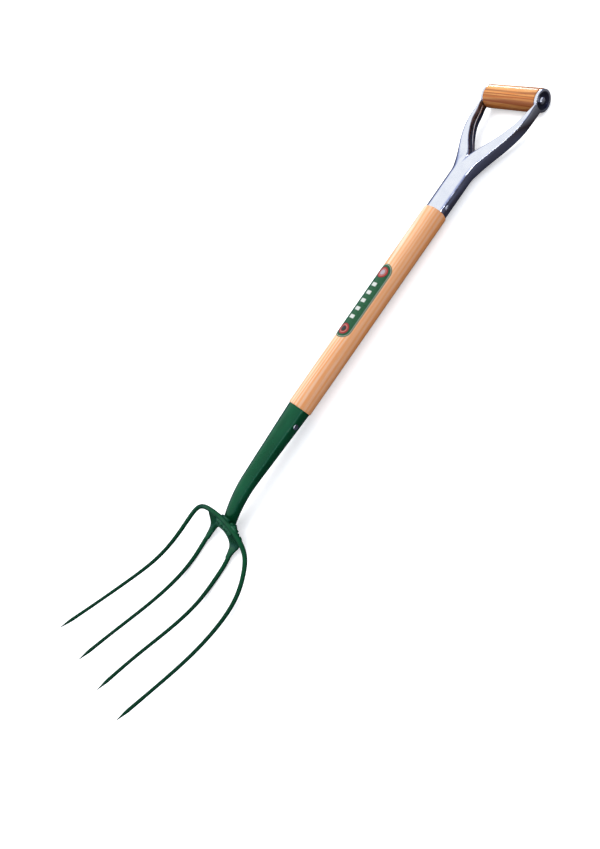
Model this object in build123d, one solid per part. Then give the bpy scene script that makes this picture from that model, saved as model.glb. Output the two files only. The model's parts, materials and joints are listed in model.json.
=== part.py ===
"""Four-tine manure fork with an ash shaft and a YD (yoke and D) handle.

Built lying along X with the shaft axis on X = 0 .. shaft_length, Z up out of the
hollow of the tines, Y across.  place() then tips it by the small angle at which it
really lies on its tine bellies and grip, and centres it over the row origin.
"""
from build123d import *
from math import cos, pi, radians, sin
import os

# ------------------------------------------------------------ driving dimensions, mm
# shaft
SHAFT_R = 19.0
SHAFT_LENGTH = 355.0
SHOULDER_CHAMFER = 2.0

# fork socket and neck
SOCKET_RIM_R = 17.7
SOCKET_TAPER = 0.038
SOCKET_WALL = 1.9
SOCKET_DEPTH = 112.0
NECK_BEND_START = 125.0
NECK_BEND_R = 185.0
NECK_BEND_ANGLE = 25.0

# tines
BOW_R = 3.65
TINE_POINT_R = 0.4
CROWN_LENGTH = 70.0
CROWN_STEP = 5.0
TINE_STEP = 18.0
TINE_HEAD_LENGTH = 34.0
TINE_HEAD_STATIONS = [34, 20, 14, 7, 0]
SECTION_X_DIR = (0, 0, 1)
# (distance from the point, radius)
TINE_RADII = [
    (0, TINE_POINT_R),
    (7, 1.35),
    (14, 2.35),
    (20, 2.75),
    (34, 2.7),
    (60, 2.6),
    (140, 2.85),
    (240, 3.4),
    (300, BOW_R),
]
# half of each rod, from the crown's middle to the point: x along, y across, z up
OUTER_ROUTE = [
    (-198.2, 0, 3.0),
    (-198.9, 20, 4.6),
    (-201.4, 40, 3.2),
    (-207.0, 58.5, -1.8),
    (-216.8, 72.4, -8.2),
    (-235.3, 82.4, -15.2),
    (-272.0, 91.5, -22.8),
    (-315.0, 96.0, -20.6),
    (-370.0, 101.6, -3.2),
    (-425.0, 105.2, 21.8),
    (-481.1, 108.4, 49.4),
]
INNER_ROUTE = [
    (-209.0, 0, -10.4),
    (-210.0, 11.0, -11.2),
    (-214.0, 20.0, -15.0),
    (-221.0, 26.6, -19.4),
    (-233.0, 30.8, -22.6),
    (-272.0, 32.5, -26.2),
    (-315.0, 33.5, -23.0),
    (-370.0, 33.9, -5.9),
    (-425.0, 34.0, 18.5),
    (-485.9, 35.5, 43.2),
]

# handle yoke
YOKE_R = 17.3
YOKE_WALL = 1.8
YOKE_BORE_DEPTH = 68.0
GRIP_X = 565.0
BOSS_R = 16.4
BOSS_OUT = 54.1
BOSS_THICK = 4.3
BOSS_ROUND = 1.6
DISH_RIM_R = 13.9
DISH_FLOOR_R = 8.0
DISH_DEPTH = 2.6
# cross-sections along one arm:
# x, y, heading away from X in degrees, half width, half depth, squareness
ARM_STATIONS = [
    (431.0, 1.8, 10.0, 16.6, 17.0, 2.1),
    (441.0, 7.4, 27.0, 14.0, 15.4, 2.4),
    (455.0, 15.6, 35.0, 11.8, 13.4, 2.8),
    (474.0, 28.0, 33.0, 9.2, 12.0, 3.0),
    (486.0, 35.2, 28.0, 8.0, 11.5, 3.1),
    (498.0, 41.2, 22.0, 6.9, 11.0, 3.1),
    (508.0, 45.3, 16.0, 5.9, 10.6, 3.0),
    (519.0, 48.4, 11.0, 5.0, 10.2, 3.0),
    (536.0, 50.7, 5.0, 3.6, 9.6, 2.9),
    (547.0, 51.96, 1.0, 2.12, 9.4, 2.8),
    (553.0, 51.98, 0.0, 2.08, 9.2, 2.8),
]
ARM_START = 423.0
SECTION_POINTS = 24
# outline of the hollow inside one arm, seen from above, and its depth at each end
HOLLOW_OUTER = [(423.0, 14.0), (437.0, 17.4), (461.0, 29.2), (495.0, 44.0), (519.0, 50.4), (535.0, 52.0)]
HOLLOW_INNER = [(535.0, 50.0), (516.0, 45.2), (486.0, 27.8), (470.0, 15.2), (452.0, 2.0), (423.0, 2.0)]
HOLLOW_HALF_DEPTH = [(422.0, 9.4), (455.0, 8.4), (519.0, 6.2), (566.0, 4.8)]

# grip and its rivet
GRIP_R = 17.0
GRIP_GAP = 0.35
GRIP_END_ROUND = 1.6
GRIP_ROD_R = 4.0
GRIP_RUN_CLEARANCE = 0.06
GRIP_HEAD_R = 5.6
GRIP_HEAD_RISE = 3.0

# cross rivets
RIVET_R = 2.6
RIVET_HEAD_R = 4.4
RIVET_HEAD_RISE = 1.5
SOCKET_RIVET_X = -26.0
YOKE_RIVET_X = 367.0

# label
LABEL_START = 119.0
LABEL_END = 249.0
LABEL_HALF_ANGLE = 44.0
LABEL_THICK = 0.15

# webs of forged metal between crown and inner tine:
# centre x, y, z, heading below X in degrees, half width, half thickness
WEB_STATIONS = [
    (-201.5, 30.0, 0.0, 50, 15.0, 3.0),
    (-209.5, 29.8, -10.0, 50, 13.8, 3.2),
    (-216.5, 29.5, -17.4, 40, 11.4, 3.4),
    (-223.0, 30.0, -20.8, 20, 7.8, 3.6),
    (-231.0, 30.7, -22.4, 11, 5.4, 3.8),
    (-241.0, 31.2, -23.8, 8, 4.0, 3.8),
]

# weld metal between neck and crown
WELD_LENGTH = 15.0
WELD_WIDTH = 30.0
WELD_HEIGHT = 9.0
WELD_CENTRE = (-199.0, 0, -4.0)

# rest
FLOOR_TILT = 0.855
REST_SHIFT = (-48.30, 0.0, 25.445)


# ------------------------------------------------------------ small helpers
def revolve_x(profile):
    """Solid of revolution about X from an (x, radius) outline."""
    outline = make_face(Polyline(*[(x, r, 0) for x, r in profile], close=True))
    return revolve(outline, Axis.X, 360)


def interpolate(table, at):
    """Linear reading of a table of (position, value) pairs."""
    for (x0, v0), (x1, v1) in zip(table, table[1:]):
        if at <= x1:
            return v0 + (v1 - v0) * max(at - x0, 0) / (x1 - x0)
    return table[-1][1]


def spread(start, end, step):
    """Even stations from start up to, but without, end."""
    count = round((end - start) / step)
    return [start + (end - start) * i / count for i in range(count)]


def cross_cylinder(x, radius, half_length):
    """Cylinder lying across the tool, along Y."""
    return Pos(x, 0, 0) * Rot(90, 0, 0) * Cylinder(radius, 2 * half_length)


def dome(radius, rise):
    """Rivet head: a spherical cap standing on Z = 0."""
    ball_r = (radius**2 + rise**2) / (2 * rise)
    ball = Pos(0, 0, rise - ball_r) * Sphere(ball_r)
    keep = Pos(0, 0, rise) * Box(4 * radius, 4 * radius, 2 * rise)
    return ball & keep


# ------------------------------------------------------------ wood
def socket_outer(x):
    return SOCKET_RIM_R + SOCKET_TAPER * x


def make_shaft():
    tail_end = -SOCKET_DEPTH
    profile = [
        (tail_end, 0),
        (tail_end, socket_outer(tail_end) - SOCKET_WALL),
        (0, SOCKET_RIM_R - SOCKET_WALL),
        (0, SHAFT_R - SHOULDER_CHAMFER / 2),
        (SHOULDER_CHAMFER / 2, SHAFT_R),
        (SHAFT_LENGTH - SHOULDER_CHAMFER, SHAFT_R),
        (SHAFT_LENGTH, SHAFT_R - SHOULDER_CHAMFER),
        (SHAFT_LENGTH, YOKE_R - YOKE_WALL),
        (SHAFT_LENGTH + YOKE_BORE_DEPTH, YOKE_R - YOKE_WALL),
        (SHAFT_LENGTH + YOKE_BORE_DEPTH, 0),
    ]
    wood = revolve_x(profile)
    for x in (SOCKET_RIVET_X, YOKE_RIVET_X):
        wood -= cross_cylinder(x, RIVET_R, 2 * SHAFT_R)
    return wood


def make_grip():
    half = BOSS_OUT - BOSS_THICK - GRIP_GAP
    barrel = cross_cylinder(GRIP_X, GRIP_R, half)
    barrel = fillet(barrel.edges().filter_by(GeomType.CIRCLE), GRIP_END_ROUND)
    return barrel - cross_cylinder(GRIP_X, GRIP_ROD_R + GRIP_RUN_CLEARANCE, 2 * half)


def make_label():
    """Thin printed label laid round the upper side of the shaft, with round ends."""
    outer_r = SHAFT_R + LABEL_THICK
    width = 2 * outer_r * sin(radians(LABEL_HALF_ANGLE))
    length = LABEL_END - LABEL_START
    middle = (LABEL_START + LABEL_END) / 2
    ring = cross_ring(middle, length, outer_r)
    print_area = Pos(middle, 0, 0) * extrude(SlotOverall(length, width), 2 * SHAFT_R)
    return ring & print_area


def cross_ring(x, length, outer_r):
    sleeve = Cylinder(outer_r, length) - Cylinder(SHAFT_R, length)
    return Pos(x, 0, 0) * Rot(0, 90, 0) * sleeve


# ------------------------------------------------------------ fork head
def neck_point(angle):
    """Centre of the neck after it has turned through this angle, in degrees."""
    turn = radians(angle)
    return (-NECK_BEND_START - NECK_BEND_R * sin(turn), 0, -NECK_BEND_R * (1 - cos(turn)))


def make_socket(inner_bow):
    straight = revolve_x([
        (-NECK_BEND_START, 0),
        (-NECK_BEND_START, socket_outer(-NECK_BEND_START)),
        (0, SOCKET_RIM_R),
        (0, SOCKET_RIM_R - SOCKET_WALL),
        (-SOCKET_DEPTH, socket_outer(-SOCKET_DEPTH) - SOCKET_WALL),
        (-SOCKET_DEPTH, 0),
    ])
    sections = []
    steps = 5
    for i in range(steps + 1):
        angle = NECK_BEND_ANGLE * i / steps
        travelled = NECK_BEND_START + NECK_BEND_R * radians(angle)
        tangent = (-cos(radians(angle)), 0, -sin(radians(angle)))
        plane = Plane(neck_point(angle), x_dir=(0, 1, 0), z_dir=tangent)
        sections.append(plane * Circle(socket_outer(-travelled)))
    neck = loft(sections)
    socket = straight + neck - inner_bow
    return largest(socket - cross_cylinder(SOCKET_RIVET_X, RIVET_R, 2 * SHAFT_R))


def make_bow(route):
    """A rod bent into two tines: round sections lofted along one half, then mirrored."""
    other_half = [(x, -y, z) for x, y, z in route[:0:-1]]
    path = Spline(*other_half, *route)
    crown = path.length / 2
    stations = spread(0, CROWN_LENGTH, CROWN_STEP)
    stations += spread(CROWN_LENGTH, crown - TINE_HEAD_LENGTH, TINE_STEP)
    stations += [crown - from_tip for from_tip in TINE_HEAD_STATIONS]
    sections = []
    for station in stations:
        centre = path.position_at(crown + station, PositionMode.LENGTH)
        direction = path.tangent_at(crown + station, PositionMode.LENGTH)
        radius = interpolate(TINE_RADII, crown - station)
        sections.append(Plane(centre, x_dir=SECTION_X_DIR, z_dir=direction) * Circle(radius))
    half = loft(sections, ruled=True)
    return half + mirror(half, Plane.XZ)


def make_web(side, bows):
    """Gusset that fills the corner between the crown and one inner tine."""
    sections = []
    for x, y, z, heading, half_width, half_thick in WEB_STATIONS:
        turn = radians(heading)
        plane = Plane((x, side * y, z), x_dir=(0, 1, 0), z_dir=(-cos(turn), 0, -sin(turn)))
        sections.append(plane * Ellipse(half_width, half_thick))
    web = loft(sections, ruled=True)
    for bow in bows:
        web -= bow
    return largest(web)


def largest(shape):
    return max(shape.solids(), key=lambda solid: solid.volume)


def make_crown_weld(neck, bows):
    block = Pos(*WELD_CENTRE) * Box(WELD_LENGTH, WELD_WIDTH, WELD_HEIGHT)
    block = fillet(block.edges(), 0.45 * WELD_HEIGHT)
    for piece in [neck] + bows:
        block -= piece
    return largest(block)


# ------------------------------------------------------------ handle yoke
def arm_section(station):
    """Rounded-square outline standing across one arm."""
    x, y, heading, half_width, half_depth, squareness = station
    points = []
    for i in range(SECTION_POINTS):
        angle = 2 * pi * i / SECTION_POINTS
        across, deep = cos(angle), sin(angle)
        reach = (abs(across) ** squareness + abs(deep) ** squareness) ** (-1 / squareness)
        points.append((half_width * reach * across, half_depth * reach * deep))
    turn = radians(heading)
    plane = Plane((x, y, 0), x_dir=(-sin(turn), cos(turn), 0), z_dir=(cos(turn), sin(turn), 0))
    return plane * make_face(Spline(*points, periodic=True))


def make_arms():
    """Both arms, growing out of the round end of the socket."""
    root = Plane((ARM_START, 0, 0), x_dir=(0, 1, 0), z_dir=(1, 0, 0)) * Circle(YOKE_R)
    arm = loft([root] + [arm_section(station) for station in ARM_STATIONS], ruled=True)
    arm = arm & Pos(GRIP_X, BOSS_OUT, 0) * Box(GRIP_X, 2 * BOSS_OUT, 4 * BOSS_R)
    return arm + mirror(arm, Plane.XZ)


def make_arm_hollows():
    """The space inside the two arms, which are one shell with the socket."""
    hollow = extrude(make_face(Polyline(*HOLLOW_OUTER, *HOLLOW_INNER, close=True)), BOSS_R, both=True)
    side = [(x, 0, depth) for x, depth in HOLLOW_HALF_DEPTH]
    side += [(x, 0, -depth) for x, depth in reversed(HOLLOW_HALF_DEPTH)]
    wedge = make_face(Polyline(*side, close=True))
    hollow = hollow & extrude(wedge, 2 * BOSS_OUT, dir=(0, 1, 0), both=True)
    return hollow + mirror(hollow, Plane.XZ)


def make_yoke():
    """Socket and two hollow arms in one, with a dished boss at the end of each arm."""
    bore_r = YOKE_R - YOKE_WALL
    bore_end = SHAFT_LENGTH + YOKE_BORE_DEPTH
    yoke = make_arms()
    yoke += revolve_x([(SHAFT_LENGTH, 0), (SHAFT_LENGTH, YOKE_R), (ARM_START, YOKE_R), (ARM_START, 0)])
    for side in (1, -1):
        yoke += make_boss(side)
    yoke -= make_arm_hollows()
    yoke -= revolve_x([(SHAFT_LENGTH, 0), (SHAFT_LENGTH, bore_r), (bore_end, bore_r), (bore_end, 0)])
    for side in (1, -1):
        yoke -= make_dish(side)
    yoke -= cross_cylinder(GRIP_X, BOSS_R + GRIP_GAP, BOSS_OUT - BOSS_THICK)
    yoke -= cross_cylinder(GRIP_X, GRIP_ROD_R, 2 * BOSS_OUT)
    yoke -= cross_cylinder(YOKE_RIVET_X, RIVET_R, 2 * YOKE_R)
    return yoke


def end_disc(side, outline):
    """Disc on the grip's axis at one arm's end, from a (height, radius) outline."""
    face = make_face(Polyline(*[(r, z) for z, r in outline], close=True))
    disc = revolve(Plane.XZ * face, Axis.Z, 360)
    return Pos(GRIP_X, side * (BOSS_OUT - BOSS_THICK), 0) * Rot(-90 * side, 0, 0) * disc


def make_boss(side):
    """Round end of an arm, with a rounded outer edge."""
    return end_disc(side, [
        (0, 0),
        (0, BOSS_R),
        (BOSS_THICK - BOSS_ROUND, BOSS_R),
        (BOSS_THICK - 0.3 * BOSS_ROUND, BOSS_R - 0.3 * BOSS_ROUND),
        (BOSS_THICK, BOSS_R - BOSS_ROUND),
        (BOSS_THICK, 0),
    ])


def make_dish(side):
    """Shallow round recess around the grip rivet's head."""
    return end_disc(side, [
        (BOSS_THICK - DISH_DEPTH, 0),
        (BOSS_THICK - DISH_DEPTH, DISH_FLOOR_R),
        (BOSS_THICK, DISH_RIM_R),
        (2 * BOSS_THICK, DISH_RIM_R),
        (2 * BOSS_THICK, 0),
    ])


# ------------------------------------------------------------ rivets
def make_rivet(x, shank_r, half_length, head_r, head_rise):
    """Through rivet lying across the tool, with a domed head at each end."""
    rivet = cross_cylinder(x, shank_r, half_length)
    for side in (1, -1):
        rivet += Pos(x, side * half_length, 0) * Rot(-90 * side, 0, 0) * dome(head_r, head_rise)
    return rivet


def place(shape):
    """From the tool's own axes to the row frame: lying at rest, centred over the origin."""
    return Pos(*REST_SHIFT) * Rot(0, FLOOR_TILT, 0) * shape


def main():
    outer_bow = make_bow(OUTER_ROUTE)
    inner_bow = make_bow(INNER_ROUTE)
    socket = make_socket(inner_bow)
    socket_rivet_reach = socket_outer(SOCKET_RIVET_X) + 0.3
    pieces = {
        "outer_tine_bow": outer_bow,
        "inner_tine_bow": inner_bow,
        "tine_web_left": make_web(1, [outer_bow, inner_bow]),
        "tine_web_right": make_web(-1, [outer_bow, inner_bow]),
        "crown_weld": make_crown_weld(socket, [outer_bow, inner_bow]),
        "fork_socket": socket,
        "socket_rivet": make_rivet(SOCKET_RIVET_X, RIVET_R, socket_rivet_reach, RIVET_HEAD_R, RIVET_HEAD_RISE),
        "shaft": make_shaft(),
        "shaft_label": make_label(),
        "handle_yoke": make_yoke(),
        "yoke_rivet": make_rivet(YOKE_RIVET_X, RIVET_R, YOKE_R, RIVET_HEAD_R, RIVET_HEAD_RISE),
        "grip": make_grip(),
        "grip_rivet": make_rivet(GRIP_X, GRIP_ROD_R, BOSS_OUT - DISH_DEPTH, GRIP_HEAD_R, GRIP_HEAD_RISE),
    }
    os.makedirs("parts", exist_ok=True)
    for name, shape in pieces.items():
        placed = place(shape)
        export_step(placed, f"parts/{name}.step")
        print(name, len(placed.solids()), round(placed.volume), placed.is_valid)


if __name__ == "__main__":
    main()
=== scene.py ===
"""Looks of the four-tine garden fork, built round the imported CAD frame."""
import bpy
import bmesh
import json
import numpy as np
from math import cos, pi, radians, sin, sqrt
from mathutils import Matrix, Vector, noise


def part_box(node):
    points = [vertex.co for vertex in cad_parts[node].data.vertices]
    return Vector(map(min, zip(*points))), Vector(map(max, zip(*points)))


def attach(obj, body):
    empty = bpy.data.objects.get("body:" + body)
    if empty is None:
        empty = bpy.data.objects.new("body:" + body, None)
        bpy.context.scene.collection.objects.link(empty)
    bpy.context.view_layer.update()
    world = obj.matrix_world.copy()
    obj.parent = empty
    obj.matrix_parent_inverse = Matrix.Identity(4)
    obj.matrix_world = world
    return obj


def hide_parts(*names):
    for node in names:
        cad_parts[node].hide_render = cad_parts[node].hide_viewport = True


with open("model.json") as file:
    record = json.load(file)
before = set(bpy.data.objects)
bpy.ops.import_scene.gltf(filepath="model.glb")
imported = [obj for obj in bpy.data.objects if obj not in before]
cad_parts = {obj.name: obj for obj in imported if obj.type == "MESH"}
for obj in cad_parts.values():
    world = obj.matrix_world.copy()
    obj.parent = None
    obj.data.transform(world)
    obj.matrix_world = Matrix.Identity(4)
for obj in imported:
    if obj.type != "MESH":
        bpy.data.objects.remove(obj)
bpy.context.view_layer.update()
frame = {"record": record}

# ------------------------------------------------------------ the tool's own axes
# X runs along the shaft from the fork socket's rim, Y across, Z out of the tines' hollow; millimetres.
FLOOR_TILT = radians(0.855)
GRIP_X = 565.0
GRIP_AXIS = Vector(frame["record"]["behaviour"]["joints"][0]["pos_m"])


def place(x, y, z):
    """A point of the tool's own axes, in the row frame, in metres."""
    x -= GRIP_X
    along = x * cos(FLOOR_TILT) + z * sin(FLOOR_TILT)
    up = -x * sin(FLOOR_TILT) + z * cos(FLOOR_TILT)
    return GRIP_AXIS + Vector((along, y, up)) / 1000


def direction(x, y, z):
    return Vector((x * cos(FLOOR_TILT) + z * sin(FLOOR_TILT), y, -x * sin(FLOOR_TILT) + z * cos(FLOOR_TILT)))


# ------------------------------------------------------------ materials
class Shader:
    """Short names for the nodes of one material."""

    def __init__(self, name):
        self.material = bpy.data.materials.new(name)
        self.material.use_nodes = True
        self.tree = self.material.node_tree
        self.bsdf = self.tree.nodes["Principled BSDF"]
        self.coord = self.tree.nodes.new("ShaderNodeTexCoord").outputs["Object"]

    def node(self, kind, **inputs):
        made = self.tree.nodes.new(kind)
        for key, value in inputs.items():
            self.put(made.inputs[key.replace("_", " ")], value)
        return made

    def put(self, socket, value):
        if isinstance(value, bpy.types.NodeSocket):
            self.tree.links.new(value, socket)
        else:
            socket.default_value = value

    def stretch(self, x, y, z):
        made = self.node("ShaderNodeMapping", Vector=self.coord)
        made.inputs["Scale"].default_value = (x, y, z)
        return made.outputs["Vector"]

    def noise(self, vector, scale, detail=3.0, rough=0.5, twist=0.0):
        made = self.node("ShaderNodeTexNoise", Vector=vector, Scale=scale, Detail=detail, Roughness=rough)
        made.inputs["Distortion"].default_value = twist
        return made.outputs["Fac"]

    def ramp(self, value, *stops):
        made = self.tree.nodes.new("ShaderNodeValToRGB")
        self.put(made.inputs["Fac"], value)
        points = made.color_ramp.elements
        while len(points) < len(stops):
            points.new(0.5)
        for point, (at, colour) in zip(points, stops):
            point.position = at
            if not isinstance(colour, tuple):
                colour = (colour, colour, colour)
            point.color = (*colour, 1.0)
        return made.outputs["Color"]

    def math(self, kind, a, b=0.0, c=0.0):
        made = self.tree.nodes.new("ShaderNodeMath")
        made.operation = kind
        for socket, value in zip(made.inputs, (a, b, c)):
            self.put(socket, value)
        return made.outputs[0]

    def mix(self, share, a, b):
        made = self.tree.nodes.new("ShaderNodeMix")
        made.data_type = "RGBA"
        self.put(made.inputs["Factor"], share)
        self.put(made.inputs[6], (*a, 1.0) if isinstance(a, tuple) else a)
        self.put(made.inputs[7], (*b, 1.0) if isinstance(b, tuple) else b)
        return made.outputs[2]

    def bump(self, height, strength, distance, normal=None):
        made = self.node("ShaderNodeBump", Height=height, Strength=strength, Distance=distance)
        if normal:
            self.put(made.inputs["Normal"], normal)
        return made.outputs["Normal"]

    def set(self, **inputs):
        for key, value in inputs.items():
            self.put(self.bsdf.inputs[key.replace("_", " ")], value)
        return self.material


def green_enamel(name, level, coat):
    """Dipped enamel, darker towards the tine points; level is its specular level, coat its clear coat."""
    s = Shader(name)
    cloud = s.noise(s.coord, 28.0, 4.0, 0.55)
    grain = s.noise(s.coord, 700.0, 2.0, 0.5)
    forged = s.noise(s.coord, 130.0, 3.0, 0.55)
    streak = s.noise(s.stretch(22.0, 130.0, 130.0), 1.0, 3.0, 0.6)
    base = s.ramp(cloud, (0.30, (0.001, 0.040, 0.012)), (0.55, (0.002, 0.056, 0.018)),
                  (0.78, (0.004, 0.076, 0.028)))
    base = s.mix(s.ramp(streak, (0.50, 0.0), (0.68, 0.65)), base, (0.003, 0.034, 0.012))
    scuff = s.ramp(s.noise(s.stretch(1.0, 2.2, 2.2), 210.0, 6.0, 0.7), (0.64, 0.0), (0.74, 1.0))
    base = s.mix(s.math("MULTIPLY", scuff, 0.30), base, (0.014, 0.125, 0.058))
    starts, full = place(-225, 0, 0).x, place(-300, 0, 0).x
    x = s.node("ShaderNodeSeparateXYZ", Vector=s.coord).outputs["X"]
    tipward = s.math("MULTIPLY_ADD", x, 1 / (full - starts), -starts / (full - starts))
    base = s.mix(s.ramp(tipward, (0.0, 0.0), (1.0, 0.80)), base, (0.0004, 0.016, 0.005))
    rough = s.ramp(cloud, (0.3, 0.22), (0.7, 0.38))
    relief = s.bump(forged, 0.40, 0.0007)
    relief = s.bump(grain, 0.12, 0.0002, relief)
    gloss = s.bump(forged, 0.16, 0.0005)
    return s.set(Base_Color=base, Roughness=rough, Normal=relief, Coat_Weight=coat, Coat_Roughness=0.05,
                 Coat_Normal=gloss, Specular_IOR_Level=level, Specular_Tint=(0.14, 1.0, 0.58, 1.0))


def timber(name, along, pale, warm, dark, streak, spacing, swing, painted_shade_side, coat, coat_rough):
    """Straight-grained ash. along is the grain's axis, spacing the width of a year's growth in metres and
    swing how far the growth lines wander. painted_shade_side says where across the piece the painted shade
    on the side turned from the light begins, where it is full, and how strong it is."""
    s = Shader(name)

    def along_grain(fine, coarse):
        scale = [coarse, coarse, coarse]
        scale[along] = fine
        return s.stretch(*scale)

    bands = s.noise(along_grain(1.1, 22.0), 5.0, 3.0, 0.5, 0.6)
    wander = s.noise(along_grain(1.8, 30.0), 1.0, 2.0, 0.45, 0.3)
    fibres = s.noise(along_grain(10.0, 620.0), 1.6, 3.0, 0.6)
    pores = s.noise(along_grain(26.0, 620.0), 3.1, 2.0, 0.55)
    split = s.node("ShaderNodeSeparateXYZ", Vector=s.coord)
    side = split.outputs["Y" if along == 0 else "X"]
    growth = s.math("ADD", s.math("MULTIPLY", side, 0.8), s.math("MULTIPLY", split.outputs["Z"], 0.6))
    growth = s.math("ADD", s.math("MULTIPLY", growth, 2 * pi / spacing), s.math("MULTIPLY", wander, swing))
    lines = s.ramp(s.math("MULTIPLY_ADD", s.math("SINE", growth), 0.5, 0.5), (0.30, 0.0), (0.92, 1.0))
    lines = s.math("MULTIPLY", lines, s.ramp(bands, (0.35, 0.55), (0.60, 1.0)))
    base = s.ramp(bands, (0.36, warm), (0.52, pale), (0.74, warm))
    base = s.mix(s.math("MULTIPLY", lines, streak), base, dark)
    base = s.mix(s.ramp(fibres, (0.35, 0.36), (0.60, 0.0)), base, dark)
    # painted shade: the base colour darkens across the piece towards the side turned from the light
    begin, full, share = painted_shade_side
    painted_shade = s.node("ShaderNodeMapRange", Value=side, From_Min=begin, From_Max=full)
    base = s.mix(s.math("MULTIPLY", painted_shade.outputs[0], share), base, dark)
    pits = s.ramp(pores, (0.62, 0.0), (0.68, 1.0))
    base = s.mix(s.math("MULTIPLY", pits, 0.40), base, dark)
    rough = s.ramp(fibres, (0.3, 0.50), (0.7, 0.34))
    relief = s.bump(fibres, 0.18, 0.0002)
    relief = s.bump(s.math("SUBTRACT", 1.0, pits), 0.25, 0.0002, relief)
    return s.set(Base_Color=base, Roughness=rough, Normal=relief, Coat_Weight=coat, Coat_Roughness=coat_rough,
                 Specular_IOR_Level=0.3)


def polished_steel(name="polished_steel", dished=False):
    """Polished plate; the dished ends get a dark floor inside the rim, painted shade and painted dark
    reflection in the recess.
    """
    s = Shader(name)
    wave = s.noise(s.coord, 26.0, 2.0, 0.5)
    haze = s.noise(s.coord, 60.0, 4.0, 0.6)
    scratch = s.noise(s.stretch(60.0, 900.0, 900.0), 2.0, 3.0, 0.6)
    base = s.ramp(haze, (0.3, (0.80, 0.83, 0.91)), (0.7, (0.89, 0.91, 0.96)))
    if dished:
        split = s.node("ShaderNodeSeparateXYZ", Vector=s.coord)
        dx = s.math("SUBTRACT", split.outputs["X"], GRIP_AXIS.x)
        dz = s.math("SUBTRACT", split.outputs["Z"], GRIP_AXIS.z)
        reach = s.math("SQRT", s.math("ADD", s.math("MULTIPLY", dx, dx), s.math("MULTIPLY", dz, dz)))
        # painted shade and painted dark reflection: the dish floor inside the rim is darkened
        share = s.node("ShaderNodeMapRange", Value=reach, From_Min=0.0120, From_Max=0.0140)
        base = s.mix(share.outputs[0], (0.07, 0.075, 0.12), base)
    rough = s.ramp(haze, (0.35, 0.12), (0.75, 0.25))
    relief = s.bump(wave, 0.55, 0.0016)
    relief = s.bump(scratch, 0.05, 0.00008, relief)
    return s.set(Base_Color=base, Metallic=1.0, Roughness=rough, Normal=relief)


def ground_steel_painted_shade():
    """The arms' inner sides: grinder marks and a rougher finish, on a darker blue-grey base that is painted
    shade and painted dark reflection.
    """
    s = Shader("ground_steel_painted_shade")
    haze = s.noise(s.coord, 90.0, 4.0, 0.65)
    marks = s.noise(s.stretch(1.0, 1.0, 14.0), 70.0, 3.0, 0.6)
    base = s.ramp(haze, (0.35, (0.26, 0.30, 0.40)), (0.70, (0.50, 0.55, 0.68)))
    base = s.mix(s.ramp(marks, (0.45, 0.0), (0.65, 0.6)), base, (0.13, 0.14, 0.20))
    rough = s.ramp(haze, (0.35, 0.26), (0.75, 0.42))
    return s.set(Base_Color=base, Metallic=1.0, Roughness=rough, Normal=s.bump(marks, 0.35, 0.0004))


def rivet_steel():
    s = Shader("rivet_steel")
    haze = s.noise(s.coord, 300.0, 3.0, 0.6)
    base = s.ramp(haze, (0.35, (0.66, 0.68, 0.74)), (0.7, (0.84, 0.86, 0.90)))
    rough = s.ramp(haze, (0.35, 0.16), (0.75, 0.28))
    return s.set(Base_Color=base, Metallic=1.0, Roughness=rough, Normal=s.bump(haze, 0.10, 0.0002))


# ------------------------------------------------------------ mesh helpers
def cubic(points, step, columns=3):
    """Rows along a natural cubic spline through the given rows, about step apart."""
    p = np.array(points, float)
    t = np.concatenate([[0], np.cumsum(np.linalg.norm(np.diff(p[:, :columns], axis=0), axis=1))])
    h = np.diff(t)
    n = len(p)
    a = np.eye(n)
    b = np.zeros_like(p)
    for i in range(1, n - 1):
        a[i, i - 1:i + 2] = h[i - 1], 2 * (h[i - 1] + h[i]), h[i]
        b[i] = 6 * ((p[i + 1] - p[i]) / h[i] - (p[i] - p[i - 1]) / h[i - 1])
    m = np.linalg.solve(a, b)
    out = []
    for q in np.linspace(0, t[-1], int(round(t[-1] / step)) + 1):
        i = min(np.searchsorted(t, q, side="right") - 1, n - 2)
        u, v = t[i + 1] - q, q - t[i]
        out.append((m[i] * u**3 + m[i + 1] * v**3) / (6 * h[i])
                   + (p[i] / h[i] - m[i] * h[i] / 6) * u + (p[i + 1] / h[i] - m[i + 1] * h[i] / 6) * v)
    return np.array(out)


def new_object(name, points, faces, material, body="tool", sharp=32):
    """A mesh from points of the tool's own axes."""
    mesh = bpy.data.meshes.new(name)
    mesh.from_pydata([place(*p) for p in points], [], faces)
    made = bpy.data.objects.new(name, mesh)
    bpy.context.scene.collection.objects.link(made)
    finish_mesh(made, sharp)
    if material:
        mesh.materials.append(material)
        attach(made, body)
    return made


def finish_mesh(made, sharp):
    work = bmesh.new()
    work.from_mesh(made.data)
    bmesh.ops.remove_doubles(work, verts=work.verts, dist=1e-6)
    bmesh.ops.recalc_face_normals(work, faces=work.faces)
    work.to_mesh(made.data)
    work.free()
    made.data.shade_smooth()
    made.data.set_sharp_from_angle(angle=radians(sharp))


def skin(rings):
    """Closed skin over rings of points; a ring of one point closes an end."""
    points, faces, starts = [], [], []
    for ring in rings:
        starts.append(len(points))
        points.extend(ring)
    for a in range(len(rings) - 1):
        low, high = starts[a], starts[a + 1]
        n, m = len(rings[a]), len(rings[a + 1])
        for i in range(max(n, m)):
            j = (i + 1) % max(n, m)
            if n == 1:
                faces.append((low, high + j, high + i))
            elif m == 1:
                faces.append((low + i, low + j, high))
            else:
                faces.append((low + i, low + j, high + j, high + i))
    return points, faces


def ring(centre, u, v, ru, rv, count):
    out = []
    for i in range(count):
        angle = 2 * pi * i / count
        c, s = cos(angle), sin(angle)
        out.append(tuple(centre + u * (ru * c) + v * (rv * s)))
    return out


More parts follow.
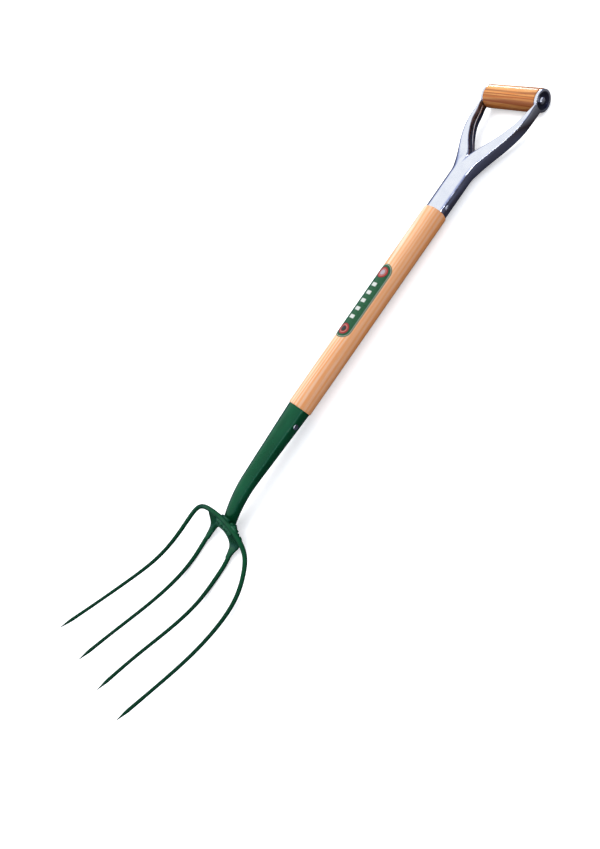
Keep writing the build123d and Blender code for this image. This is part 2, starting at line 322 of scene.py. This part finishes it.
def turned(profile, origin, axis, across, count):
    """Rings of a turned piece from (distance along the axis, radius); radius 0 closes an end."""
    origin, axis, across = Vector(origin), Vector(axis), Vector(across)
    other = axis.cross(across)
    rings = []
    for along, radius in profile:
        centre = origin + axis * along
        rings.append([tuple(centre)] if radius == 0 else ring(centre, across, other, radius, radius, count))
    return rings


def rounded(a, b, c, radius, steps=5):
    """Points of a quarter-like fillet of the corner b, seen from a to c, as (along, radius)."""
    a, b, c = Vector(a), Vector(b), Vector(c)
    start = b + (a - b).normalized() * radius
    end = b + (c - b).normalized() * radius
    return [tuple(start.lerp(b, t).lerp(b.lerp(end, t), t)) for t in (i / steps for i in range(steps + 1))]


def swept(rows, count):
    """Rings along a path of (x, y, z, half width, half depth)."""
    rows = np.array(rows)
    middles = [Vector(r[:3]) for r in rows]
    tangents = []
    for i in range(len(rows)):
        before, after = middles[max(i - 1, 0)], middles[min(i + 1, len(rows) - 1)]
        tangents.append((after - before).normalized())
    u = Vector((0, 0, 1))
    rings = [[tuple(middles[0] - tangents[0] * 0.05)]]
    for middle, tangent, row in zip(middles, tangents, rows):
        u = (u - tangent * u.dot(tangent)).normalized()
        rings.append(ring(middle, u, tangent.cross(u), row[3], row[4], count))
    rings.append([tuple(middles[-1] + tangents[-1] * 0.05)])
    return rings


def merged(parts):
    """One list of points and faces from several."""
    points, faces = [], []
    for more_points, more_faces in parts:
        faces += [tuple(i + len(points) for i in face) for face in more_faces]
        points += list(more_points)
    return points, faces


# ------------------------------------------------------------ tines
BAR_R = 3.65
# distance from the point, radius
TINE_RADII = [
    (0, 0.38), (4, 0.95), (7, 1.33), (14, 2.3), (20, 2.7), (34, 2.65), (60, 2.55), (140, 2.8), (240, 3.33),
    (300, BAR_R),
]
# one side of each bar, from the middle of its bow to the tine's point
OUTER_ROUTE = [
    (-198.2, 0, 3.0), (-198.9, 20, 4.6), (-201.4, 40, 3.2), (-207.0, 58.5, -1.8), (-216.8, 72.4, -8.2),
    (-235.3, 82.4, -15.2), (-272.0, 91.5, -22.8), (-315.0, 96.0, -20.6), (-370.0, 101.6, -3.2),
    (-425.0, 105.2, 21.8), (-481.1, 108.4, 49.4),
]
INNER_ROUTE = [
    (-209.0, 0, -10.4), (-210.0, 11.0, -11.2), (-214.0, 20.0, -15.0), (-221.0, 26.6, -19.4),
    (-233.0, 30.8, -22.6), (-272.0, 32.5, -26.2), (-315.0, 33.5, -23.0), (-370.0, 33.9, -5.9),
    (-425.0, 34.0, 18.5), (-485.9, 35.5, 43.2),
]


def bar_rows(route, step=2.0):
    """Points and radii along a whole bent bar, from point to point."""
    whole = [(x, -y, z) for x, y, z in reversed(route[1:])] + route
    path = cubic(whole, step)
    length = np.concatenate([[0], np.cumsum(np.linalg.norm(np.diff(path, axis=0), axis=1))])
    rows = []
    for p, run in zip(path, length):
        left = min(run, length[-1] - run)
        r = float(np.interp(left, *zip(*TINE_RADII)))
        hammered = 1 + 0.022 * min(1.0, left / 60) * noise.noise(Vector((run * 0.05, 3.1, route[0][0])))
        flat = 0.10 * max(0.0, 1 - left / 45)
        rows.append((*p, r * hammered * (1 - flat), r * hammered * (1 + 0.3 * flat)))
    return rows


def make_bar(name, route, node):
    points, faces = skin(swept(bar_rows(route), 28))
    made = new_object(name, points, faces, tine_enamel, sharp=60)
    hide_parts(node)
    return made


# ------------------------------------------------------------ crown: gussets and weld, forged into one
# each gusset from the bow down to its tine: x, y, z, heading in degrees, half width, half thickness
WEB_STATIONS = {
    1: [
        (-201.5, 28.0, 0.0, 50, 12.5, 3.0), (-209.5, 28.4, -10.0, 50, 12.0, 3.2),
        (-216.5, 28.4, -17.4, 40, 9.6, 3.4), (-223.0, 29.8, -20.8, 20, 6.8, 3.6),
        (-231.0, 30.7, -22.4, 11, 5.0, 3.8), (-241.0, 31.2, -23.8, 8, 4.0, 3.8),
    ],
    -1: [
        (-201.5, 31.5, 0.0, 50, 16.5, 3.0), (-209.5, 32.0, -10.0, 50, 16.2, 3.2),
        (-216.5, 32.2, -16.6, 40, 13.9, 3.3), (-222.5, 31.8, -20.2, 20, 9.6, 3.5),
        (-231.0, 30.8, -22.4, 11, 5.6, 3.8), (-241.0, 31.2, -23.8, 8, 4.0, 3.8),
    ],
}


def web_rings(side):
    rings = []
    for x, y, z, heading, half_width, half_thick in cubic(WEB_STATIONS[side], 2.0):
        turn = radians(heading)
        across = Vector((0, 1, 0))
        along = Vector((-cos(turn), 0, -sin(turn)))
        rings.append(ring(Vector((x, side * y, z)), across, along.cross(across), half_width, half_thick, 28))
    ends = [[tuple(sum((Vector(p) for p in r), Vector()) / len(r))] for r in (rings[0], rings[-1])]
    return [ends[0]] + rings + [ends[1]]


def ball(centre, size, lump, seed):
    work = bmesh.new()
    bmesh.ops.create_icosphere(work, subdivisions=3, radius=1.0)
    points = []
    for v in work.verts:
        grown = 1 + lump * noise.noise(v.co * 1.7 + Vector((seed, 0, 0)))
        points.append(tuple(Vector(centre) + Vector([a * b * grown for a, b in zip(v.co, size)])))
    faces = [tuple(v.index for v in f.verts) for f in work.faces]
    work.free()
    return points, faces


def remeshed(name, points, faces, voxel, rounds):
    """One smooth skin round overlapping shapes."""
    rough = new_object(name + "_rough", points, faces, None)
    step = rough.modifiers.new("voxels", "REMESH")
    step.mode = "VOXEL"
    step.voxel_size = voxel
    step = rough.modifiers.new("ease", "SMOOTH")
    step.factor = 0.5
    step.iterations = rounds
    mesh = bpy.data.meshes.new_from_object(rough.evaluated_get(bpy.context.evaluated_depsgraph_get()))
    mesh.name = name
    bpy.data.objects.remove(rough)
    mesh.shade_smooth()
    made = bpy.data.objects.new(name, mesh)
    bpy.context.scene.collection.objects.link(made)
    return made


# beads of weld metal: centre, half sizes
WELD_RUN = [
    ((-203.5, 15.0, -7.0), (4.4, 5.0, 4.4)), ((-206.0, 9.0, -7.0), (5.0, 6.0, 4.0)),
    ((-206.5, -9.0, -7.5), (5.0, 6.0, 4.2)), ((-204.5, -15.0, -8.0), (4.6, 5.0, 5.0)),
    ((-203.5, 4.0, 1.5), (4.0, 5.5, 3.0)), ((-203.8, -6.0, 1.6), (4.2, 5.0, 3.2)),
    ((-204.2, -16.0, 1.6), (4.0, 4.8, 3.2)), ((-199.0, -14.0, -12.0), (5.0, 6.0, 6.5)),
    ((-198.6, -22.0, -4.0), (5.4, 6.0, 6.0)), ((-197.6, -28.5, 0.6), (4.8, 4.6, 4.6)),
    ((-197.2, -33.5, 1.2), (3.9, 3.6, 4.2)), ((-199.4, -39.5, 0.8), (4.3, 4.2, 3.9)),
    ((-201.6, -45.0, 0.4), (3.6, 3.4, 3.4)), ((-204.0, -51.0, -1.2), (4.1, 4.4, 3.9)),
    ((-206.8, -56.0, -2.8), (3.7, 3.6, 3.6)), ((-204.0, -25.0, 3.4), (3.6, 4.0, 2.8)),
    ((-205.5, -32.0, 2.0), (3.6, 4.4, 3.0)), ((-208.5, -24.0, -5.0), (4.0, 4.6, 3.6)),
]


def make_crown():
    """Gussets, the weld runs and the parts of the bars they hold, flowing into each other."""
    parts = []
    for route, reach in ((OUTER_ROUTE, 58), (INNER_ROUTE, 36)):
        rows = [r for r in bar_rows(route, 1.0) if abs(r[1]) < reach and r[0] > -246]
        parts.append(skin(swept(rows, 24)))
    for side in (1, -1):
        parts.append(skin(web_rings(side)))
    parts.append(ball((-200.0, -1, -4.5), (8.0, 13.0, 6.2), 0.25, 1.0))
    for i, (centre, size) in enumerate(WELD_RUN):
        parts.append(ball(centre, size, 0.45, 3.0 * i))
    points, faces = merged(parts)
    made = remeshed("crown_weld_and_webs", points, faces, 0.0007, 5)
    made.data.materials.clear()
    made.data.materials.append(enamel)
    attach(made, "tool")
    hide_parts("crown_weld", "tine_web_left", "tine_web_right")
    return made


# ------------------------------------------------------------ socket and neck
SOCKET_RIM_R = 17.7
SOCKET_TAPER = 0.038
SOCKET_WALL = 1.9
SOCKET_DEPTH = 112.0
NECK_START = 125.0
NECK_BEND_R = 185.0
NECK_BEND = 25.0


def make_socket():
    across = Vector((0, 1, 0))
    count = 72
    rings = [[(-SOCKET_DEPTH, 0, 0)]]
    back = Vector((-1, 0, 0))
    for x, r in ((-SOCKET_DEPTH, SOCKET_RIM_R - SOCKET_TAPER * SOCKET_DEPTH - SOCKET_WALL),
                 (-0.3, SOCKET_RIM_R - SOCKET_WALL), (0, SOCKET_RIM_R - SOCKET_WALL + 0.3)):
        rings.append(ring(Vector((x, 0, 0)), across, back.cross(across), r, r, count))
    for x, r in rounded((0, SOCKET_RIM_R - 1), (0, SOCKET_RIM_R), (-9, SOCKET_RIM_R), 0.7):
        rings.append(ring(Vector((x, 0, 0)), across, back.cross(across), r, r, count))
    travelled = 4.0
    end = NECK_START + NECK_BEND_R * radians(NECK_BEND)
    while travelled < end + 0.1:
        angle = max(0.0, (travelled - NECK_START) / NECK_BEND_R)
        centre = Vector((-travelled, 0, 0))
        if angle:
            centre = Vector((-NECK_START - NECK_BEND_R * sin(angle), 0, -NECK_BEND_R * (1 - cos(angle))))
        tangent = Vector((-cos(angle), 0, -sin(angle)))
        r = SOCKET_RIM_R - SOCKET_TAPER * travelled
        r *= 1 + 0.006 * noise.noise(Vector((travelled * 0.03, 7.7, 0)))
        rings.append(ring(centre, across, tangent.cross(across), r, r, count))
        travelled += 4.0
    rings.append([tuple(centre)])
    points, faces = skin(rings)
    made = new_object("socket_and_neck", points, faces, enamel)
    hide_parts("fork_socket")
    return made


# ------------------------------------------------------------ wood
SHAFT_R = 19.0
SHAFT_LENGTH = 355.0
TENON_R = 15.5
TENON_LENGTH = 68.0
GRIP_R = 17.0
GRIP_BORE_R = 4.06


def make_shaft():
    inside = SOCKET_RIM_R - SOCKET_WALL - 0.02
    end = -SOCKET_DEPTH + 0.1
    profile = [(end, 0), (end, inside - SOCKET_TAPER * SOCKET_DEPTH), (0, inside)]
    profile += rounded((0, inside), (0, SHAFT_R), (10, SHAFT_R), 1.9)
    profile += [(x, SHAFT_R) for x in range(8, int(SHAFT_LENGTH) - 4, 8)]
    profile += rounded((SHAFT_LENGTH - 9, SHAFT_R), (SHAFT_LENGTH, SHAFT_R), (SHAFT_LENGTH, TENON_R), 1.9)
    far = SHAFT_LENGTH + TENON_LENGTH
    profile += [(SHAFT_LENGTH, TENON_R - 0.02), (far, TENON_R - 0.02), (far, 0)]
    points, faces = skin(turned(profile, (0, 0, 0), (1, 0, 0), (0, 1, 0), 96))
    made = new_object("shaft_wood", points, faces, ash, sharp=40)
    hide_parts("shaft")
    return made


def make_grip():
    low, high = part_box("grip")
    half = (high.y - low.y) * 500
    profile = [(-half, GRIP_BORE_R)]
    profile += rounded((-half, GRIP_BORE_R), (-half, GRIP_R), (0, GRIP_R), 1.8, 6)
    profile += [(y, GRIP_R) for y in np.linspace(-half + 6, half - 6, 20)]
    profile += rounded((0, GRIP_R), (half, GRIP_R), (half, GRIP_BORE_R), 1.8, 6)
    profile += [(half, GRIP_BORE_R), (-half, GRIP_BORE_R)]
    points, faces = skin(turned(profile, (GRIP_X, 0, 0), (0, 1, 0), (0, 0, 1), 96))
    made = new_object("grip_barrel", points, faces, varnished, body="grip", sharp=40)
    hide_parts("grip")
    return made


# ------------------------------------------------------------ label
LABEL_START = 119.0
LABEL_END = 249.0
LABEL_HALF_ANGLE = 44.0
LABEL_R = SHAFT_R + 0.15


def label_film():
    """Green field, pale rule inside the edge and two plain discs; no lettering."""
    s = Shader("label_film")
    uv = s.tree.nodes.new("ShaderNodeUVMap")
    uv.uv_map = "flat"
    split = s.node("ShaderNodeSeparateXYZ", Vector=uv.outputs["UV"])
    u, v = split.outputs["X"], split.outputs["Y"]
    half = (LABEL_END - LABEL_START) / 2000
    wide = LABEL_R * radians(LABEL_HALF_ANGLE) / 1000
    beyond = s.math("MAXIMUM", s.math("SUBTRACT", s.math("ABSOLUTE", u), half - wide), 0.0)
    reach = s.math("SQRT", s.math("ADD", s.math("MULTIPLY", beyond, beyond), s.math("MULTIPLY", v, v)))
    inset = s.math("SUBTRACT", wide, reach)

    def band(value, low, high):
        soft = 0.0001
        up = s.node("ShaderNodeMapRange", Value=value, From_Min=low - soft, From_Max=low + soft)
        down = s.node("ShaderNodeMapRange", Value=value, From_Min=high - soft, From_Max=high + soft)
        return s.math("SUBTRACT", up.outputs[0], down.outputs[0])

    fleck = s.noise(s.coord, 260.0, 3.0, 0.6)
    field = s.ramp(fleck, (0.3, (0.008, 0.070, 0.026)), (0.7, (0.014, 0.105, 0.040)))
    colour = s.mix(band(inset, 0.0012, 0.0020), field, (0.42, 0.45, 0.38))
    gap = half - wide
    for end in (-1, 1):
        du = s.math("SUBTRACT", u, end * gap)
        far = s.math("SQRT", s.math("ADD", s.math("MULTIPLY", du, du), s.math("MULTIPLY", v, v)))
        colour = s.mix(band(far, -1.0, 0.0098), colour, (0.02, 0.04, 0.03))
        colour = s.mix(band(far, -1.0, 0.0088), colour, (0.36, 0.028, 0.024))
        colour = s.mix(band(far, 0.0056, 0.0062), colour, (0.50, 0.33, 0.27))
        colour = s.mix(band(far, -1.0, 0.0044), colour, (0.40, 0.34, 0.38) if end > 0 else (0.02, 0.03, 0.03))
    for i in range(5):
        middle = 0.0143 * (i - 2)
        block = s.math("MULTIPLY", band(v, -0.0044, 0.0044), band(u, middle - 0.0030, middle + 0.0030))
        colour = s.mix(s.math("MULTIPLY", block, 0.9), colour, (0.66, 0.68, 0.64))
    return s.set(Base_Color=colour, Roughness=s.ramp(fleck, (0.3, 0.26), (0.7, 0.38)), Coat_Weight=0.15,
                 Specular_IOR_Level=0.25, Coat_Roughness=0.12, Normal=s.bump(fleck, 0.05, 0.0001))


def make_label():
    half = (LABEL_END - LABEL_START) / 2
    middle = (LABEL_END + LABEL_START) / 2
    wide = LABEL_R * radians(LABEL_HALF_ANGLE)
    columns, rows = 150, 36
    points, flat = [], []
    for i in range(columns + 1):
        u = half * sin(pi / 2 * (2 * i / columns - 1))
        beyond = max(0.0, abs(u) - (half - wide))
        edge = sqrt(max(wide**2 - beyond**2, 0.0))
        for j in range(rows + 1):
            v = edge * (2 * j / rows - 1)
            lift = LABEL_R - 0.12 * (1 if j in (0, rows) or i in (0, columns) else 0)
            points.append((middle + u, lift * sin(v / LABEL_R), lift * cos(v / LABEL_R)))
            flat.append((u / 1000, v / 1000))
    faces = []
    for i in range(columns):
        for j in range(rows):
            a = i * (rows + 1) + j
            faces.append((a, a + rows + 1, a + rows + 2, a + 1))
    mesh = bpy.data.meshes.new("label")
    mesh.from_pydata([place(*p) for p in points], [], faces)
    layer = mesh.uv_layers.new(name="flat")
    for loop in mesh.loops:
        layer.data[loop.index].uv = flat[loop.vertex_index]
    made = bpy.data.objects.new("label", mesh)
    bpy.context.scene.collection.objects.link(made)
    work = bmesh.new()
    work.from_mesh(mesh)
    bmesh.ops.remove_doubles(work, verts=work.verts, dist=1e-7)
    work.to_mesh(mesh)
    work.free()
    mesh.shade_smooth()
    mesh.materials.append(label_film())
    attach(made, "tool")
    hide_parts("shaft_label")
    return made


# ------------------------------------------------------------ handle yoke
YOKE_R = 17.3
ARM_START = SHAFT_LENGTH + TENON_LENGTH
BOSS_THICK = 4.3
BOSS_R = 16.4
BOSS_FLOOR = 2.6
# an arm from the fork to its boss: x, y, heading in degrees, half width, half depth, squareness
ARM_STATIONS = [
    (423.0, 0.0, 0.0, 17.3, 17.3, 2.0), (431.0, 1.8, 10.0, 16.6, 16.8, 2.1),
    (441.0, 7.4, 27.0, 14.0, 15.4, 2.4), (455.0, 15.6, 35.0, 11.8, 13.4, 3.0),
    (474.0, 28.0, 33.0, 9.2, 12.0, 3.5), (498.0, 41.2, 22.0, 6.9, 11.0, 3.6),
    (519.0, 48.4, 11.0, 5.0, 10.2, 3.4), (536.0, 50.7, 5.0, 3.6, 9.6, 3.0),
    (547.0, 51.96, 1.0, 2.12, 9.4, 2.8), (552.0, 51.98, 0.0, 2.08, 9.2, 2.8),
]


def arm_frame(heading):
    turn = radians(heading)
    return Vector((-sin(turn), cos(turn), 0)), Vector((0, 0, 1))


def arm_lean(x):
    """How far the arm's inner side has become two flats that rise to the closing seam."""
    return min(1.0, max(0.0, (x - 440) / 26)) * min(1.0, max(0.0, (548 - x) / 14))


def arm_ring(centre, across, up, half_width, half_depth, square, count):
    """Section of an arm: broad rounded outer side, inner side of two flats meeting at the seam."""
    lean = arm_lean(centre.x)
    out = []
    for i in range(count):
        angle = 2 * pi * i / count
        c, s = cos(angle), sin(angle)
        power = square if c > 0 else square + (8.0 - square) * lean
        reach = (abs(c) ** power + abs(s) ** power) ** (-1 / power)
        wide = half_width * reach * c
        deep = half_depth * reach * s
        if c < 0:
            peak = (0.10 * half_width + 1.1) * (1 - abs(deep) / half_depth)
            wide = wide * (1 - 0.10 * lean) - peak * lean
        out.append(tuple(centre + across * wide + up * deep))
    return out


def make_yoke():
    count = 96
    across, up = arm_frame(0)
    rings = [[(ARM_START, 0, 0)]]
    for x, r in ((ARM_START, TENON_R), (SHAFT_LENGTH + 0.2, TENON_R)):
        rings.append(ring(Vector((x, 0, 0)), across, up, r, r, count))
    rim = rounded((SHAFT_LENGTH, TENON_R), (SHAFT_LENGTH, YOKE_R), (SHAFT_LENGTH + 9, YOKE_R), 0.6)
    for x, r in rim:
        rings.append(ring(Vector((x, 0, 0)), across, up, r, r, count))
    for x in np.arange(SHAFT_LENGTH + 4, ARM_START - 1, 3.0):
        rings.append(ring(Vector((x, 0, 0)), across, up, YOKE_R, YOKE_R, count))
    for x, y, heading, half_width, half_depth, square in cubic(ARM_STATIONS, 1.5, 2):
        across, up = arm_frame(heading)
        rings.append(arm_ring(Vector((x, y, 0)), across, up, half_width, half_depth, max(square, 2.0), count))
    rings.append([(x, y, 0)])
    points, faces = skin(rings)
    half = new_object("yoke_shell", points, faces, None)
    work = bmesh.new()
    work.from_mesh(half.data)
    everything = work.verts[:] + work.edges[:] + work.faces[:]
    bmesh.ops.bisect_plane(work, geom=everything, dist=1e-7, plane_co=(0, 0, 0), plane_no=(0, -1, 0),
                           clear_outer=True)
    bmesh.ops.recalc_face_normals(work, faces=work.faces)
    work.normal_update()
    begin = place(449, 0, 0).x
    # the arms' inner faces, turned towards each other, get the ground steel with its painted shade
    for face in work.faces:
        middle = face.calc_center_median()
        facing = face.normal.y < -0.25 and abs(face.normal.z) < 0.86
        inside = facing and middle.x > begin and middle.y > 0.0015
        face.material_index = 1 if inside else 0
    twin = bmesh.ops.duplicate(work, geom=work.verts[:] + work.edges[:] + work.faces[:])["geom"]
    bmesh.ops.scale(work, vec=(1, -1, 1), verts=[g for g in twin if isinstance(g, bmesh.types.BMVert)])
    bmesh.ops.remove_doubles(work, verts=work.verts, dist=2e-6)
    # ease the fold where the arms part
    low, high = place(429, 0, 0).x, place(462, 0, 0).x
    for _ in range(14):
        moves = {}
        for v in work.verts:
            if low < v.co.x < high and abs(v.co.y) < 0.005:
                share = 1 - abs(v.co.y) / 0.005
                near = [e.other_vert(v).co for e in v.link_edges]
                moves[v] = v.co.lerp(sum(near, Vector()) / len(near), 0.5 * share)
        for v, to in moves.items():
            v.co = to
    bmesh.ops.recalc_face_normals(work, faces=work.faces)
    work.to_mesh(half.data)
    work.free()
    half.data.shade_smooth()
    half.data.set_sharp_from_angle(angle=radians(42))
    half.data.materials.append(steel)
    half.data.materials.append(ground_and_shaded_steel)
    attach(half, "tool")
    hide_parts("handle_yoke")
    return half


def make_boss(side, name):
    """Round dished end of an arm."""
    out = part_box("handle_yoke")[1].y * 1000
    inner = out - BOSS_THICK
    r = BOSS_R
    profile = [(inner, 4.0), (inner, r - 0.7)] + rounded((inner, r - 1.3), (inner, r), (out, r), 0.5)
    profile += rounded((inner, r), (out, r), (out, r - 3.3), 1.6, 7)
    floor_at = out - BOSS_FLOOR
    profile += rounded((out, r), (out, r - 2.5), (floor_at, 8.0), 0.7)
    profile += rounded((out, r - 2.5), (floor_at, 8.0), (floor_at, 4.0), 2.0)
    profile += [(floor_at, 4.0), (inner, 4.0)]
    points, faces = skin(turned(profile, (GRIP_X, 0, 0), (0, side, 0), (0, 0, 1), 96))
    return new_object(name, points, faces, dished_steel, sharp=50)


def make_seam(side, name):
    """Raised weld line down the inner side of an arm, where the tube's slit half was closed."""
    rows = []
    for x, y, heading, half_width, *_ in cubic(ARM_STATIONS[2:-1], 2.0, 2):
        across, _ = arm_frame(heading)
        inner = Vector((x, y, 0)) - across * (half_width + 1.1 * arm_lean(x) - 0.35)
        if inner.y > 1.5:
            wander = 0.5 * noise.noise(Vector((x * 0.05, side * 5.0, 2.0)))
            rows.append((inner.x, side * inner.y, wander, 1.5, 0.75))
    points, faces = skin(swept(rows, 16))
    return new_object(name, points, faces, steel, sharp=60)


# ------------------------------------------------------------ rivets
def make_rivet(name, node, x, shank, reach, head, rise):
    """Through rivet with hammered domed heads."""
    dome = [(reach, head * 0.97), (reach + 0.15, head)]
    for i in range(1, 9):
        angle = pi / 2 * i / 8
        dome.append((reach + 0.15 + (rise - 0.15) * sin(angle), head * cos(angle) if i < 8 else 0))
    half = [(0, shank), (reach, shank)] + dome
    profile = [(-along, r) for along, r in reversed(half[1:])] + half
    rings = turned(profile, (x, 0, 0), (0, 1, 0), (0, 0, 1), 48)
    worked = []
    for one in rings:
        worked.append([(a, b * (1 + 0.004 * noise.noise(Vector((a, c, b)) * 0.55)), c) for a, b, c in one])
    points, faces = skin(worked)
    made = new_object(name, points, faces, rivet, sharp=50)
    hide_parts(node)
    return made


# ------------------------------------------------------------ build
enamel = green_enamel("green_enamel", 0.55, 0.22)
tine_enamel = green_enamel("tine_enamel", 0.26, 0.09)
# the tuple before each timber's coat is its painted shade, on the shaft's -Y side and the grip's -X side,
# turned from the light
ash = timber("ash_wood", 0, (0.97, 0.79, 0.62), (0.96, 0.71, 0.50), (0.84, 0.31, 0.075), 0.85, 0.0056,
             26.0, (0.006, -0.016, 0.62), 0.05, 0.25)
varnished = timber("varnished_wood", 1, (0.97, 0.47, 0.13), (0.86, 0.28, 0.045), (0.26, 0.050, 0.004), 0.80,
                   0.0046, 66.0, (GRIP_AXIS.x + 0.004, GRIP_AXIS.x - 0.014, 0.52), 0.45, 0.05)
steel = polished_steel()
dished_steel = polished_steel("dished_steel", dished=True)
ground_and_shaded_steel = ground_steel_painted_shade()
rivet = rivet_steel()

make_bar("outer_tines", OUTER_ROUTE, "outer_tine_bow")
make_bar("inner_tines", INNER_ROUTE, "inner_tine_bow")
make_crown()
make_socket()
make_shaft()
make_label()
make_yoke()
make_boss(1, "boss_left")
make_boss(-1, "boss_right")
make_seam(1, "yoke_seam_left")
make_seam(-1, "yoke_seam_right")
make_grip()
make_rivet("socket_rivet_heads", "socket_rivet", -26.0, 2.6, 17.0, 4.4, 1.45)
make_rivet("yoke_rivet_heads", "yoke_rivet", 367.0, 2.6, 17.3, 4.4, 1.45)
make_rivet("grip_rivet_heads", "grip_rivet", GRIP_X, 4.0, 51.5, 5.6, 2.9)

# ------------------------------------------------------------ floor, light, camera
floor_shader = Shader("studio_floor")
floor_tone = floor_shader.ramp(floor_shader.noise(floor_shader.coord, 3.0), (0.3, 0.97), (0.7, 0.99))
floor_shader.set(Base_Color=floor_tone, Roughness=0.9, Specular_IOR_Level=0.1,
                 Emission_Color=(1.0, 1.0, 1.0, 1.0), Emission_Strength=0.40)
# The camera sees pale paper. The steel and the enamel mirror a dim room in its place, and light bounced
# off it is dimmer too: a choice for looks, not what such a floor does.
patch = floor_shader.ramp(floor_shader.noise(floor_shader.coord, 2.6, 3.0), (0.35, (0.008, 0.009, 0.020)),
                          (0.50, (0.060, 0.066, 0.100)), (0.60, (0.022, 0.016, 0.018)),
                          (0.72, (0.130, 0.130, 0.145)))
mirrored = floor_shader.node("ShaderNodeBsdfDiffuse", Color=patch)
bounced = floor_shader.node("ShaderNodeBsdfDiffuse", Color=(0.36, 0.33, 0.31, 1.0))
path = floor_shader.tree.nodes.new("ShaderNodeLightPath")
last = floor_shader.bsdf.outputs[0]
for ray, other in (("Is Diffuse Ray", bounced), ("Is Glossy Ray", mirrored)):
    choice = floor_shader.tree.nodes.new("ShaderNodeMixShader")
    floor_shader.tree.links.new(path.outputs[ray], choice.inputs[0])
    floor_shader.tree.links.new(last, choice.inputs[1])
    floor_shader.tree.links.new(other.outputs[0], choice.inputs[2])
    last = choice.outputs[0]
floor_shader.tree.links.new(last, floor_shader.tree.nodes["Material Output"].inputs["Surface"])
work = bmesh.new()
bmesh.ops.create_grid(work, x_segments=8, y_segments=8, size=12.0)
floor_mesh = bpy.data.meshes.new("floor")
work.to_mesh(floor_mesh)
work.free()
floor = bpy.data.objects.new("floor", floor_mesh)
bpy.context.scene.collection.objects.link(floor)
floor_mesh.materials.append(floor_shader.material)


def lamp(name, at, aim, wide, high, power, mirrored=True):
    data = bpy.data.lights.new(name, "AREA")
    data.shape = "ELLIPSE" if wide == high else "RECTANGLE"
    data.size = wide
    data.size_y = high
    data.energy = power
    made = bpy.data.objects.new(name, data)
    made.visible_glossy = mirrored
    made.location = at
    made.rotation_euler = (Vector(aim) - Vector(at)).to_track_quat("-Z", "Y").to_euler()
    bpy.context.scene.collection.objects.link(made)


lamp("key", (0.7, 1.3, 1.8), (0, 0, 0), 1.8, 1.8, 30.0, mirrored=False)
lamp("rim", (2.0, 1.31, 0.33), (0.5, 0, 0), 0.30, 0.40, 6.0)
lamp("strip", (0.0, -2.4, 0.30), (0, 0, 0.03), 2.2, 0.12, 6.0)

world = bpy.data.worlds.new("studio")
bpy.context.scene.world = world
world.use_nodes = True
nodes, links = world.node_tree.nodes, world.node_tree.links
sky = nodes["Background"]
where = nodes.new("ShaderNodeTexCoord")
height = nodes.new("ShaderNodeSeparateXYZ")
shade = nodes.new("ShaderNodeValToRGB")
links.new(where.outputs["Generated"], height.inputs[0])
links.new(height.outputs["Z"], shade.inputs["Fac"])
links.new(shade.outputs["Color"], sky.inputs["Color"])
# A pale tent whose foot is dim and bluish lights the piece and shows in reflections; the camera itself
# sees plain white.
tent = [
    (0.0, (0.05, 0.06, 0.12)), (0.12, (0.16, 0.20, 0.42)),
    (0.28, (0.52, 0.59, 0.83)), (0.42, (0.95, 0.97, 1.0)),
]
while len(shade.color_ramp.elements) < len(tent):
    shade.color_ramp.elements.new(0.5)
for point, (at, colour) in zip(shade.color_ramp.elements, tent):
    point.position = at
    point.color = (*colour, 1.0)
paper = nodes.new("ShaderNodeBackground")
paper.inputs["Color"].default_value = (1.0, 1.0, 1.0, 1.0)
choice = nodes.new("ShaderNodeMixShader")
links.new(nodes.new("ShaderNodeLightPath").outputs["Is Camera Ray"], choice.inputs[0])
links.new(sky.outputs[0], choice.inputs[1])
links.new(paper.outputs[0], choice.inputs[2])
links.new(choice.outputs[0], nodes["World Output"].inputs["Surface"])

# the camera stands at a fitted point of the tool's own axes, with fitted right and up directions
camera_data = bpy.data.cameras.new("camera")
camera_data.sensor_fit = "VERTICAL"
camera_data.sensor_height = 36.0
camera_data.lens = 33.07
camera_data.clip_start = 0.02
camera = bpy.data.objects.new("camera", camera_data)
right = direction(0.5699, -0.5677, -0.5940)
up = direction(0.8215, 0.3761, 0.4287)
back = right.cross(up).normalized()
up = back.cross(right).normalized()
right = right.normalized()
turn = Matrix((right, up, back)).transposed().to_4x4()
camera.matrix_world = Matrix.Translation(place(-41.8, -854.6, 775.1)) @ turn
bpy.context.scene.collection.objects.link(camera)
bpy.context.scene.camera = camera
bpy.context.scene.view_settings.view_transform = "Standard"
